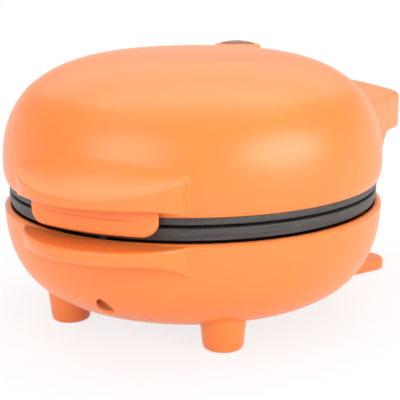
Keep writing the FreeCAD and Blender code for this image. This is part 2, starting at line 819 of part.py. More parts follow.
save("lid_shell", lid_shell())
save("base_shell", base_shell())
save("lower_grill_plate", lower_plate())
save("upper_grill_plate", upper_plate())

lower_element_z = lower_floor_low - element_radius
upper_element_z = upper_floor_top + element_radius
save("lower_heating_element", element(lower_element_z))
save("upper_heating_element", element(upper_element_z))
save("lower_element_caps", Part.makeCompound(element_caps(lower_element_z)))
save("upper_element_caps", Part.makeCompound(element_caps(upper_element_z)))
save("lower_element_clamp", clamp(lower_clamp_low))
save("upper_element_clamp", clamp(upper_clamp_low))
save("lower_heat_shield", lower_shield())
save("upper_heat_shield", shield(upper_clamp_top, upper_shield_top, upper_clamp_top - shield_lip))

lower_seat = shelf_z - well_shelf
lower_screw = screw(screw_radius, screw_head_radius, screw_head_height, lower_seat,
                    shelf_z + plate_screw_grip)
upper_seat = upper_rim_low + upper_rim_height / 2
upper_screw = screw(screw_radius, screw_head_radius, upper_rim_height / 2, upper_seat,
                    lid_edge_z + plate_screw_grip)
centre_screw = screw(screw_radius, screw_head_radius, screw_head_height, lower_shield_low,
                     lower_clamp_top + centre_screw_grip)
top_screw = centre_screw.mirror(at(0, 0, (lower_shield_low + upper_shield_top) / 2), Z)
save("lower_plate_screws", Part.makeCompound(plate_places(lower_screw)))
save("upper_plate_screws", Part.makeCompound(plate_places(upper_screw)))
save("lower_clamp_screw", centre_screw)
save("upper_clamp_screw", top_screw)

save("thermostat", thermostat())
save("thermostat_screws", Part.makeCompound(thermostat_screws()))
save("thermal_cutout", cutout())
save("terminal_block", terminal_block())
terminal_top = floor_z + terminal_height
save("terminal_screws", Part.makeCompound(
    terminal_holes(small_head_radius, terminal_top - terminal_screw_depth, terminal_top - small_head_height)))
save("cord_bush", bush())

save("hinge_pin_right", pin_solid())
save("hinge_pin_left", mirrored(pin_solid()))
save("front_foot_right", front_foot())
save("front_foot_left", mirrored(front_foot()))
save("rear_stand", rear_stand())
save("fixing_screws", Part.makeCompound(fixing_screws()))
save("foot_pads", Part.makeCompound(pads()))
save("lamp_lens", lens())
save("lamp_holder", lamp_holder())
save("lamp_bulb", bulb())
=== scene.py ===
import math

import bmesh
import bpy
import numpy as np
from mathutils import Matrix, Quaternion, Vector


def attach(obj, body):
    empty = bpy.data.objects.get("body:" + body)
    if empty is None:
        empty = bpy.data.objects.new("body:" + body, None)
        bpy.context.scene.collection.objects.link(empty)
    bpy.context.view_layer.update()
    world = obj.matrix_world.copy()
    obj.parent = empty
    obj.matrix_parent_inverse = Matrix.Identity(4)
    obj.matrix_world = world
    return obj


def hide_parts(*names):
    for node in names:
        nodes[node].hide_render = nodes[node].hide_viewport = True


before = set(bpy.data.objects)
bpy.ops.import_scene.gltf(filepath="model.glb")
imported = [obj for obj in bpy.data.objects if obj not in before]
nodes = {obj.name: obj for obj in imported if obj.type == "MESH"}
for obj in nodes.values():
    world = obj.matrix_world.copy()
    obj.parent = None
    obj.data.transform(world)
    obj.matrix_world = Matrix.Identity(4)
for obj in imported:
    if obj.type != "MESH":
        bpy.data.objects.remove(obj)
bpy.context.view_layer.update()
mm = 0.001
print("frame loaded with", len(nodes), "nodes")


def linear(hexColour):
    # sRGB hex to linear colour
    parts = np.array([int(hexColour[i:i + 2], 16) for i in (1, 3, 5)]) / 255
    flat = np.where(parts <= 0.04045, parts / 12.92, ((parts + 0.055) / 1.055) ** 2.4)
    return (*flat.tolist(), 1.0)


def addNode(tree, kind, inputs=None, **settings):
    node = tree.nodes.new(kind)
    for name, value in settings.items():
        setattr(node, name, value)
    for socket, value in (inputs or {}).items():
        if isinstance(value, bpy.types.NodeSocket):
            tree.links.new(value, node.inputs[socket])
        else:
            node.inputs[socket].default_value = value
    return node


def newMaterial(name, **sockets):
    # A material with a principled shader; the sockets that are the same all over are set here
    material = bpy.data.materials.new(name)
    material.use_nodes = True
    tree = material.node_tree
    shader = tree.nodes["Principled BSDF"]
    for socket, value in sockets.items():
        shader.inputs[socket.replace("_", " ")].default_value = value
    place = addNode(tree, "ShaderNodeTexCoord").outputs["Object"]
    return material, tree, shader, place


def perMetre(sizeMm):
    # Texture scale for a grain of that size
    return 1 / (sizeMm * mm)


def grainy(name, colours, patchMm, grainMm, roughness, bump, **sockets):
    # Two close colours in soft patches, a roughness that wanders with them and a fine grain as bump
    material, tree, shader, place = newMaterial(name, **sockets)
    patch = addNode(tree, "ShaderNodeTexNoise", {"Vector": place, "Scale": perMetre(patchMm), "Detail": 3.0})
    mix = addNode(tree, "ShaderNodeMix", {0: patch.outputs[0], 6: linear(colours[0]), 7: linear(colours[1])},
                  data_type="RGBA")
    tree.links.new(mix.outputs[2], shader.inputs["Base Color"])
    dull = addNode(tree, "ShaderNodeMapRange", {"Value": patch.outputs[0], "To Min": roughness[0],
                                                "To Max": roughness[1]})
    tree.links.new(dull.outputs[0], shader.inputs["Roughness"])
    grain = addNode(tree, "ShaderNodeTexNoise", {"Vector": place, "Scale": perMetre(grainMm), "Detail": 2.0})
    relief = addNode(tree, "ShaderNodeBump", {"Strength": bump, "Distance": grainMm * mm / 4,
                                              "Height": grain.outputs[0]})
    tree.links.new(relief.outputs[0], shader.inputs["Normal"])
    return material, tree, shader, place


def orangeAbs():
    # Moulded ABS with a fine spark grain: satin, slightly milky colour. The grain is drawn at 0.7 mm to show
    return grainy("satin_moulded_abs", ("#F88A43", "#F4853D"), 45, 0.7, (0.29, 0.34), 0.10, IOR=1.5)[0]


def coatedAluminium():
    # Cast aluminium under a sprayed non-stick coat: dark, faintly flecked, with streaks round the rim
    material, tree, shader, place = grainy("sprayed_nonstick_on_cast_aluminium", ("#3B3937", "#4B4845"),
                                           6, 0.5, (0.38, 0.5), 0.12, IOR=1.45)
    stretched = addNode(tree, "ShaderNodeMapping", {"Vector": place, "Scale": (0.06, 0.06, 1.0)})
    streak = addNode(tree, "ShaderNodeTexNoise", {"Vector": stretched.outputs[0], "Scale": perMetre(0.8),
                                                  "Detail": 2.0})
    base = shader.inputs["Base Color"].links[0].from_socket
    tone = addNode(tree, "ShaderNodeMapRange", {"Value": streak.outputs[0], "From Min": 0.3, "From Max": 0.7,
                                                "To Min": 0.75, "To Max": 1.3})
    shade = addNode(tree, "ShaderNodeVectorMath", {0: base, 1: tone.outputs[0]}, operation="MULTIPLY")
    tree.links.new(shade.outputs[0], shader.inputs["Base Color"])
    return material


def lensPlastic():
    # Moulded tinted polycarbonate: red-brown with a soft gloss
    return grainy("tinted_polycarbonate", ("#84493D", "#925448"), 5, 1.5, (0.22, 0.27), 0.01,
                  IOR=1.58, Specular_IOR_Level=0.35)[0]


materials = {
    "orange": orangeAbs(),
    "nonstick": coatedAluminium(),
    "lens": lensPlastic(),
    "steel": grainy("zinc_plated_steel", ("#A9ABAD", "#BDBFC1"), 2, 0.4, (0.28, 0.4), 0.05, Metallic=1.0)[0],
    "sheet": grainy("galvanised_sheet", ("#B4B7B8", "#C6C8C8"), 9, 1.2, (0.35, 0.5), 0.04, Metallic=1.0)[0],
    "sheath": grainy("oxidised_heater_sheath", ("#5C5349", "#70665B"), 8, 0.6, (0.45, 0.6), 0.08,
                     Metallic=0.9)[0],
    "ceramic": grainy("fired_steatite", ("#E6E0D2", "#EFEADF"), 5, 0.5, (0.5, 0.65), 0.06, IOR=1.55)[0],
    "phenolic": grainy("moulded_phenolic", ("#2A211C", "#332822"), 6, 0.5, (0.35, 0.45), 0.06, IOR=1.6)[0],
    "nylon": grainy("natural_nylon", ("#E4E1D8", "#ECE9E1"), 8, 0.6, (0.4, 0.5), 0.05, IOR=1.53)[0],
    "rubber": grainy("black_rubber", ("#1F1F20", "#2A2A2B"), 6, 0.5, (0.75, 0.9), 0.15, IOR=1.52)[0],
    "bulb": grainy("bulb_glass", ("#E8C9A8", "#EFD6BC"), 4, 1.0, (0.05, 0.08), 0.01, IOR=1.5,
                   Transmission_Weight=0.6)[0],
}
print("materials made:", len(materials))


def buildMesh(name, grids):
    # Quads between the neighbours of each grid of points, in mm
    # Looped edges join, and end loops may be capped
    points, faces, start = [], [], 0
    for grid, loopU, loopV, capped in grids:
        count = grid.shape[0] * grid.shape[1]
        index = start + np.arange(count).reshape(grid.shape[:2])
        if capped:
            faces += [index[0].tolist(), index[-1, ::-1].tolist()]
        index = np.vstack([index, index[:1]]) if loopU else index
        index = np.hstack([index, index[:, :1]]) if loopV else index
        corners = (index[:-1, :-1], index[1:, :-1], index[1:, 1:], index[:-1, 1:])
        faces += np.stack(corners, -1).reshape(-1, 4).tolist()
        points.append(grid.reshape(-1, 3))
        start += count
    mesh = bpy.data.meshes.new(name)
    mesh.from_pydata((np.concatenate(points) * mm).tolist(), [], faces)
    work = bmesh.new()
    work.from_mesh(mesh)
    bmesh.ops.remove_doubles(work, verts=work.verts, dist=2e-6)
    bmesh.ops.dissolve_degenerate(work, edges=work.edges, dist=1e-6)
    bmesh.ops.recalc_face_normals(work, faces=work.faces)
    work.to_mesh(mesh)
    work.free()
    return mesh


def finishMesh(mesh, material, sharpAngle):
    mesh.materials.clear()
    mesh.materials.append(materials[material])
    mesh.shade_smooth()
    mesh.set_sharp_from_angle(angle=math.radians(sharpAngle))


def piece(name, grids, body, material, stands=(), bevel=0, sharpAngle=40):
    obj = bpy.data.objects.new(name, buildMesh(name, grids))
    bpy.context.scene.collection.objects.link(obj)
    finishMesh(obj.data, material, sharpAngle)
    if bevel:
        edge = obj.modifiers.new("edges", "BEVEL")
        edge.width = bevel * mm
        edge.segments = 3
        edge.limit_method = "ANGLE"
        edge.angle_limit = math.radians(sharpAngle)
    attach(obj, body)
    if stands:
        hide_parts(*stands)
    return obj


def cutAway(obj, grids):
    # Takes closed cutters out of a piece
    cutter = bpy.data.objects.new("cutter", buildMesh("cutter", grids))
    bpy.context.scene.collection.objects.link(cutter)
    cut = obj.modifiers.new("cut", "BOOLEAN")
    cut.operation = "DIFFERENCE"
    cut.solver = "EXACT"
    cut.object = cutter
    made = bpy.data.meshes.new_from_object(obj.evaluated_get(bpy.context.evaluated_depsgraph_get()))
    obj.modifiers.remove(cut)
    old = obj.data
    obj.data = made
    made.name = obj.name
    bpy.data.meshes.remove(old)
    bpy.data.objects.remove(cutter)


def smooth(value):
    t = np.clip(value, 0, 1)
    return t * t * (3 - 2 * t)


def easedRise(rise, width):
    # Zero below nothing, eases in over the width, then follows the rise itself
    t = np.clip(rise, 0, width)
    return np.where(rise > width, rise, t * t * (2 * width - t) / width ** 2)


def pair(r, z):
    return np.stack(np.broadcast_arrays(np.asarray(r, float), np.asarray(z, float)), -1)


sectionSteps = {"arc": 8, "straight": 5}
cornerShare = 0.48


def roundedRows(corners, reaches, arcSteps=sectionSteps["arc"], straightSteps=sectionSteps["straight"]):
    # Rows through the corners; each inner corner is a quadratic curve that starts and ends its reach away,
    # kept within a share of its shorter side
    ends = [(corners[0], corners[0])]
    rows = [corners[0][None]]
    for i in range(1, len(corners) - 1):
        here = corners[i]
        sides = (corners[i - 1] - here, corners[i + 1] - here)
        lengths = [np.maximum(np.linalg.norm(side, axis=-1, keepdims=True), 1e-9) for side in sides]
        reach = np.minimum(reaches[i - 1], cornerShare * np.minimum(*lengths))
        start, end = (here + side / length * reach for side, length in zip(sides, lengths))
        t = np.linspace(0, 1, arcSteps)[:, None, None]
        arc = (1 - t) ** 2 * start + 2 * t * (1 - t) * here + t * t * end
        s = np.linspace(0, 1, straightSteps + 2)[1:-1, None, None]
        rows += [ends[-1][1] + s * (start - ends[-1][1]), arc]
        ends.append((start, end))
    s = np.linspace(0, 1, straightSteps + 2)[1:, None, None]
    rows.append(ends[-1][1] + s * (corners[-1] - ends[-1][1]))
    return np.concatenate(rows)


def revolve(rows, centre=(0, 0), steps=160):
    # Rows of radius and height turned about an upright axis
    turn = np.linspace(0, 2 * np.pi, steps, endpoint=False)[:, None]
    r, z = rows[None, :, 0], rows[None, :, 1]
    return np.stack([centre[0] + r * np.cos(turn), centre[1] + r * np.sin(turn), z + 0 * turn], -1)


def spun(corners, reaches, centre=(0, 0), steps=160):
    rows = roundedRows([np.array([corner]) for corner in corners], np.array(reaches), 6, 2)[:, 0]
    return (revolve(rows, centre, steps), True, False, False)


def aroundFront(phi, rows):
    # Sections of radius and height placed at angles from the front, both halves
    x = rows[..., 0] * np.sin(phi)
    y = -rows[..., 0] * np.cos(phi)
    right = np.stack([x, y, rows[..., 1]], -1)
    left = right[:, -2:0:-1] * np.array([-1, 1, 1])
    return np.concatenate([right, left], 1).transpose(1, 0, 2)


spacing = {"lipTo": 24.0, "lipCount": 33, "endFrom": 24.3, "endTo": 31.5, "endCount": 25, "sideFrom": 33.0}


def sectionAngles(last, count):
    # Angles from the front in radians, closest together where the lips end
    return np.radians(np.concatenate([np.linspace(0, spacing["lipTo"], spacing["lipCount"]),
                                      np.linspace(spacing["endFrom"], spacing["endTo"], spacing["endCount"]),
                                      np.linspace(spacing["sideFrom"], last, count)]))


# Lid: a dome with a lip blended into its front and a hollow hinge block across its rear
lid = {"radius": 75.0, "wideZ": 60.5, "rise": 43.3, "outPower": 0.613, "upPower": 0.8425,
       "edgeZ": 54.5, "edgeInset": 1.5, "wall": 2.2, "edgeRound": 0.35, "edgeShare": 0.3, "domeSpread": 1.15,
       "shoulderAt": 64.5, "shoulderWidth": 3.0, "shoulderSwell": 0.3}
lidLip = {"reach": 11.95, "endReach": 3.0, "halfAngle": 26.5, "endFade": 3.2, "creaseZ": 62.5,
          "creaseRise": 4.8, "creasePower": 2.4, "lowerZ": 58.5, "lowerDrop": 2.7, "lowerPower": 5,
          "undercut": 0.6,
          "topSlope": 0.2, "topRise": 14.0, "topEnd": 4.0, "topSwing": 60.0, "creaseRound": 0.8,
          "lowerRound": 1.5, "fillet": 1.0}
hingeBlock = {"halfWidth": 60.0, "frontY": 30.0, "rearY": 87.0, "underZ": 65.2, "topZ": 80.5,
              "crown": 6.8, "corner": 5.0, "shoulder": 2.2, "join": 2.5, "joinStart": 3.75, "blendFrom": 30.0,
              "blendTo": 114.0, "hollowGap": 0.4, "underShares": (0.4, 0.8), "underRound": 0.6,
              "innerRound": 0.3, "roofRound": 0.8}


def domeHeight(radius):
    # A flattened round top; a slight swell tightens its shoulder
    turn = np.arcsin(np.clip(radius / lid["radius"], 0, 1) ** (1 / lid["outPower"]))
    swell = lid["shoulderSwell"] * np.exp(-((radius - lid["shoulderAt"]) / lid["shoulderWidth"]) ** 2)
    return lid["wideZ"] + lid["rise"] * np.cos(turn) ** lid["upPower"] + swell * np.cos(turn)


def domeTable():
    # Radius against falling height, close enough to look up either way
    radius = lid["radius"] * np.sin(np.linspace(0, np.pi / 2, 4000)) ** lid["outPower"]
    return radius, domeHeight(radius)


domeR, domeZ = domeTable()


def lidRadius(z):
    # The dome's radius at a height; below the widest line an arc curls in to the edge
    dome = np.interp(z, domeZ[::-1], domeR[::-1])
    fall = lid["wideZ"] - lid["edgeZ"]
    curl = (lid["edgeInset"] ** 2 + fall ** 2) / (2 * lid["edgeInset"])
    drop = np.clip(lid["wideZ"] - z, 0, curl)
    return np.where(z > lid["wideZ"], dome, lid["radius"] - curl + np.sqrt(curl ** 2 - drop ** 2))


def blockRoof(x):
    # The block's crowned top: an arc across its width
    half = hingeBlock["halfWidth"] - hingeBlock["shoulder"]
    bow = (half ** 2 + hingeBlock["crown"] ** 2) / (2 * hingeBlock["crown"])
    return hingeBlock["topZ"] + hingeBlock["crown"] - bow + np.sqrt(bow ** 2 - x ** 2)


def blockOutline():
    # Half of the block's plan from its front to the middle of its rear, with outward normals
    half, corner, rear = hingeBlock["halfWidth"], hingeBlock["corner"], hingeBlock["rearY"]
    side = np.linspace(hingeBlock["frontY"], rear - corner, 72, endpoint=False)
    turn = np.linspace(0, np.pi / 2, 18)
    across = np.linspace(half - corner, 0, 30)[1:]
    x = np.concatenate([np.full_like(side, half), half - corner + corner * np.cos(turn), across])
    y = np.concatenate([side, rear - corner + corner * np.sin(turn), np.full_like(across, rear)])
    nx = np.concatenate([np.ones_like(side), np.cos(turn), np.zeros_like(across)])
    return x, y, nx, np.sqrt(1 - nx ** 2)


def lidColumns():
    # Angles from the front, the block's reach and how squarely each section meets its wall
    front = sectionAngles(hingeBlock["blendTo"], 38)
    x, y, nx, ny = blockOutline()
    rear = np.arctan2(x, -y)
    reach = np.hypot(x, y)
    facing = np.clip((nx * x + ny * y) / reach, 0.3, 1)
    zero = np.zeros_like(front)
    return np.concatenate([front, rear]), np.concatenate([zero, reach]), np.concatenate([zero + 1, facing])


def lidSections():
    phi, reach, facing = lidColumns()
    isBlock = reach > 0
    degrees = np.degrees(phi)
    side = np.clip(degrees / lidLip["halfAngle"], 0, 1)
    crease = lidLip["creaseZ"] + lidLip["creaseRise"] * side ** lidLip["creasePower"]
    lower = lidLip["lowerZ"] - lidLip["lowerDrop"] * side ** lidLip["lowerPower"]
    along = smooth((degrees - hingeBlock["blendFrom"]) / (hingeBlock["blendTo"] - hingeBlock["blendFrom"]))
    crease = np.where(isBlock, blockRoof(reach * np.sin(phi)), crease + along * (hingeBlock["topZ"] - crease))
    lower = np.where(isBlock, hingeBlock["underZ"], lower + along * (hingeBlock["underZ"] - lower))
    fade = 1 - smooth((degrees - lidLip["halfAngle"]) / lidLip["endFade"] + 0.5)
    lip = lid["radius"] + lidLip["endReach"] + (lidLip["reach"] - lidLip["endReach"]) * (1 - side ** 2)
    flush = lidRadius(crease)
    out = np.where(isBlock, reach, flush + fade * (lip - flush))
    join = crease
    for _ in range(8):
        slope = crease + lidLip["topSlope"] * np.maximum(out - lidRadius(join), 0)
        join = np.where(isBlock, blockRoof(lidRadius(join) * np.sin(phi)), slope)
    start = pair(lidRadius(join + hingeBlock["joinStart"]), join + hingeBlock["joinStart"])
    lowOut = np.where(isBlock, out, lidRadius(lower) + fade * (lip - lidLip["undercut"] - lidRadius(lower)))
    lowOut = lidRadius(lower) + easedRise(lowOut - lidRadius(lower), lidLip["fillet"])
    inward = out - lid["wall"] / facing
    hollow = isBlock & (inward > lid["radius"] + hingeBlock["hollowGap"])
    wallR = lidRadius(lower)
    innerR, deepR = (np.where(hollow, inward, lowOut + share * (wallR - lowOut))
                     for share in hingeBlock["underShares"])
    deepZ = np.where(hollow, crease - lid["wall"], lower)
    backZ = np.where(hollow, join - lid["wall"], lower)
    corners = [start, pair(lidRadius(join), join), pair(out, crease), pair(lowOut, lower),
               pair(innerR, lower), pair(deepR, deepZ), pair(lidRadius(backZ), backZ)]
    topRound = np.where(isBlock, hingeBlock["shoulder"] / facing, lidLip["creaseRound"])[:, None]
    lowRound = np.where(isBlock, hingeBlock["underRound"], lidLip["lowerRound"])[:, None]
    rows = roundedRows(corners, [hingeBlock["join"], topRound, lowRound, hingeBlock["innerRound"],
                                 hingeBlock["roofRound"]])
    # The lip's top is a quarter of an ellipse, off the dome and down to the crease
    first = 1 + sectionSteps["arc"] + 2 * sectionSteps["straight"]
    edge = rows[first]
    swing = np.radians(np.linspace(0, lidLip["topSwing"], first))[:, None]
    rise = lidLip["topRise"] + (lidLip["topEnd"] - lidLip["topRise"]) * side ** 2
    topZ = edge[:, 1] + rise * (1 - np.sin(swing) / np.sin(swing[-1]))
    proud = (edge[:, 0] - lidRadius(edge[:, 1])) * (1 - np.cos(swing)) / (1 - np.cos(swing[-1]))
    rows[:first] = np.where(isBlock[:, None], rows[:first], pair(lidRadius(topZ) + proud, topZ))
    start = rows[0]
    outside = np.arange(len(rows)) < 1 + 3 * (sectionSteps["arc"] + sectionSteps["straight"])
    body = lidRadius(rows[..., 1])
    eased = body + easedRise(rows[..., 0] - body, lidLip["fillet"])
    rows[..., 0] = np.where(outside[:, None], eased, rows[..., 0])
    # The dome above the join
    startTurn = np.arcsin((start[:, 0] / lid["radius"]).clip(0, 1) ** (1 / lid["outPower"]))
    turn = np.linspace(0, 1, 60)[:-1, None] ** lid["domeSpread"] * startTurn
    domeOut = lid["radius"] * np.sin(turn) ** lid["outPower"]
    dome = pair(domeOut, domeHeight(domeOut))
    # The wall below, its edge and the inside
    z = backZ + np.linspace(0, 1, 14)[1:, None] * (lid["edgeZ"] + lid["edgeRound"] - backZ)
    wall = pair(lidRadius(z), z)
    edgeR = lid["radius"] - lid["edgeInset"]
    flat = np.zeros_like(phi)
    corner = lid["edgeShare"] * lid["edgeRound"]
    edge = [pair(edgeR - corner + flat, lid["edgeZ"] + corner),
            pair(edgeR - lid["edgeRound"] + flat, lid["edgeZ"]),
            pair(edgeR - lid["wall"] + flat, lid["edgeZ"])]
    turn = np.linspace(np.pi / 2, 0, 24)[:, None] + flat
    inside = pair((lid["radius"] - lid["wall"]) * np.sin(turn) ** lid["outPower"],
                  lid["wideZ"] + (lid["rise"] - lid["wall"]) * np.cos(turn).clip(0) ** lid["upPower"])
    return phi, np.concatenate([dome, rows, wall, np.stack(edge), inside])


skirt = {"inner": 75.8, "wall": 2.0, "halfWidth": 25.6, "lowZ": 48.5, "topZ": 59.6, "corner": 5.5,
         "edge": 0.9, "stepHalf": 18.7, "stepLowZ": 54.3, "stepProud": 0.7, "stepEdge": 0.7}


def skirtGrid():
    # A curved flap: each column is a loop down its face, round its lower edge and up its back
    x = np.linspace(-1, 1, 150) * skirt["halfWidth"]
    bend = np.maximum(np.abs(x) - skirt["halfWidth"] + skirt["corner"], 0)
    low = skirt["lowZ"] + skirt["corner"] - np.sqrt(np.maximum(skirt["corner"] ** 2 - bend ** 2, 0))
    taper = np.maximum(np.abs(x) - skirt["halfWidth"] + skirt["edge"], 0) / skirt["edge"]
    half = skirt["wall"] / 2 * np.sqrt(np.maximum(1 - taper ** 2, 0))
    middle = skirt["inner"] + skirt["wall"] / 2
    down = np.linspace(0, 1, 40)[:, None]
    lowStart = low + skirt["edge"]
    faceZ = skirt["topZ"] + down * (lowStart - skirt["topZ"])
    raised = smooth((skirt["stepHalf"] - np.abs(x)) / skirt["stepEdge"] + 0.5)
    raised = raised * smooth((faceZ - skirt["stepLowZ"]) / skirt["stepEdge"] + 0.5)
    face = pair(middle + half + skirt["stepProud"] * raised, faceZ)
    swing = np.linspace(0, np.pi, 9)[1:-1, None]
    edge = pair(middle + half * np.cos(swing), lowStart - skirt["edge"] * np.sin(swing))
    back = pair(middle - half, faceZ[::-1])
    rows = np.concatenate([face, edge, back])
    y = -np.sqrt(np.maximum(rows[..., 0] ** 2 - x ** 2, 0))
    return (np.stack([x + 0 * y, y, rows[..., 1]], -1).transpose(1, 0, 2), False, True, False)


lamp = {"y": 42.1, "tilt": 3.0, "lens": 7.4, "lensRise": 1.05, "lensSide": 0.25, "ringHeight": 1.95,
        "ringTop": 8.8, "ringFoot": 11.0, "flare": 13.2, "seatDrop": 1.0, "play": 0.1, "sunk": 0.12,
        "ringDrop": 1.5, "capDrop": 0.9, "stem": 6.0, "stemDrop": 7.0}


def lampFrame():
    # The lamp's seat on the dome and its tilted axes
    tilt = math.radians(lamp["tilt"])
    seat = np.array([0, lamp["y"], float(domeHeight(lamp["y"]))])
    return seat, np.array([0, math.cos(tilt), -math.sin(tilt)]), np.array([0, math.sin(tilt), math.cos(tilt)])


def lampGrid(rows, sink=None):
    # Rows of radius and height about the lamp's own axis; a sink share lets a row settle onto the dome
    seat, along, up = lampFrame()
    turn = np.linspace(0, 2 * np.pi, 96, endpoint=False)[:, None]
    r, h = rows[None, :, 0], rows[None, :, 1]
    across = np.array([1.0, 0, 0])
    grid = seat + (r * np.cos(turn))[..., None] * across + (r * np.sin(turn))[..., None] * along
    grid = grid + (h + 0 * turn)[..., None] * up
    if sink is not None:
        onDome = domeHeight(np.hypot(grid[..., 0], grid[..., 1]))
        grid[..., 2] += sink[None] * (onDome - lamp["sunk"] - grid[..., 2])
    return grid


def ringGrid():
    # Up the seat, over two rounded edges, down the flank and out along the dome
    h, outer, top = lamp["ringHeight"], lamp["ringFoot"], lamp["ringTop"]
    bore = lamp["lens"] + lamp["play"]
    rows = np.array([[bore, -lamp["seatDrop"]], [bore, h - 0.35], [bore + 0.1, h - 0.1], [bore + 0.35, h],
                     [top - 0.5, h], [top, h - 0.06], [top + 0.5, h - 0.25],
                     [outer - 1, 0.45 * h], [outer, 0.12 * h], [outer + 0.7, 0],
                     [lamp["flare"], 0], [lamp["flare"], -lamp["ringDrop"]], [bore, -lamp["ringDrop"]]])
    sink = np.array([0, 0, 0, 0, 0, 0, 0.02, 0.15, 0.55, 0.9, 1, 0.5, 0])
    return (lampGrid(rows, sink), True, True, False)


def lensGrid():
    # A shallow cap with a turned-down edge and a stem
    out = np.sin(np.linspace(0, np.pi / 2, 18))
    cap = pair(lamp["lens"] * out, lamp["ringHeight"] + lamp["lensSide"] + lamp["lensRise"] * (1 - out ** 2))
    low = np.array([[lamp["lens"], -lamp["capDrop"]], [lamp["stem"], -lamp["capDrop"]],
                    [lamp["stem"], -lamp["stemDrop"]], [0, -lamp["stemDrop"]]])
    return (lampGrid(np.concatenate([cap, low])), True, False, False)


hinge = {"y": 73.0, "z": 66.0, "eye": 5.28, "lugIn": 42.0, "lugOut": 50.0, "webLowZ": 67.5, "webRearY": 85.6,
         "webTopZ": 82.0, "ear": 4.5, "innerIn": 37.1, "innerOut": 41.1, "outerIn": 50.9, "outerOut": 56.9,
         "legTopZ": 60.0, "postTopZ": 64.0, "footZ": 33.0, "lean": 0.4646, "rearY": 74.6, "clear": 76.0,
         "rimZ": 45.5, "overlap": 0.2, "skin": 0.05, "neck": 0.4, "eyeStart": -0.85}


def slab(profile, x0, x1, side):
    # A closed outline in Y and Z carried straight across X
    x = np.linspace(x0, x1, 2) * side
    grid = np.stack([np.stack([np.full(len(profile), at), *profile.T], -1) for at in x])
    return (grid, False, True, True)


def lugGrids():
    y, z, eye = hinge["y"], hinge["z"], hinge["eye"]
    turn = np.linspace(0, -np.pi, 33)
    arc = np.stack([y + eye * np.cos(turn), z + eye * np.sin(turn)], -1)
    web = np.array([[y - eye, hinge["webTopZ"]], [hinge["webRearY"], hinge["webTopZ"]],
                    [hinge["webRearY"], hinge["webLowZ"]], [y + eye - hinge["overlap"], hinge["webLowZ"]]])
    return [slab(np.concatenate([arc, web]), hinge["lugIn"], hinge["lugOut"], side) for side in (1, -1)]


phi, sections = lidSections()
lidGrids = [(aroundFront(phi, sections), True, False, False), skirtGrid(), ringGrid()]
piece("lidCasing", lidGrids, "lid", "orange", ["lid_shell"])
piece("lidHingeLugs", lugGrids(), "lid", "orange", bevel=0.5)
piece("indicatorLens", [lensGrid()], "lid", "lens", ["lamp_lens"])
print("lid made")

# Base: a bowl on a flat underside, with a lip at its front, screw wells, hinge posts and a cord inlet
bowl = {"radius": 75.0, "flat": 46.9, "floorZ": 8.9, "rimZ": 45.5, "outPower": 0.9625, "upPower": 0.8634,
        "wall": 2.2, "rimRound": 1.4, "rimFlat": 0.2, "rimEdge": 0.4}
baseLip = {"reach": 12.0, "endReach": 1.0, "halfAngle": 26.5, "creaseZ": 44.9, "lowerZ": 39.8,
           "lowerDrop": 5.2, "lowerPower": 5, "undercut": 0.6, "blend": 7.0, "joinDrop": 1.2,
           "joinRound": 3.0,
           "creaseRound": 1.3, "lowerRound": 2.2, "fillet": 2.4, "slope": 0.04, "endFade": 6.0,
           "shelfShare": 0.4, "rimAngles": (20.0, 50.0)}
wells = {"circle": 66.7, "angles": (270.0, 30.0, 150.0), "radius": 3.15, "wall": 1.8, "topZ": 34.9,
         "cap": 2.0, "cutFromZ": -1.0}
inlet = {"z": 24.0, "bush": 6.0, "flange": 8.5, "setback": 1.2, "play": 0.1, "reach": 12.0}


def bowlRadius(z):
    share = np.clip((bowl["rimZ"] - z) / (bowl["rimZ"] - bowl["floorZ"]), 0, 1)
    turn = np.arcsin(share ** (1 / bowl["upPower"]))
    return bowl["flat"] + (bowl["radius"] - bowl["flat"]) * np.cos(turn).clip(0) ** bowl["outPower"]


def bowlHeight(radius):
    share = np.clip((radius - bowl["flat"]) / (bowl["radius"] - bowl["flat"]), 0, 1) ** (1 / bowl["outPower"])
    turn = np.arccos(share)
    return bowl["rimZ"] - (bowl["rimZ"] - bowl["floorZ"]) * np.sin(turn) ** bowl["upPower"]


def bowlRows(turn, inset):
    depth = bowl["rimZ"] - bowl["floorZ"] - inset
    reach = bowl["radius"] - inset - bowl["flat"]
    return pair(bowl["flat"] + reach * np.cos(turn).clip(0) ** bowl["outPower"],
                bowl["rimZ"] - depth * np.sin(turn) ** bowl["upPower"])


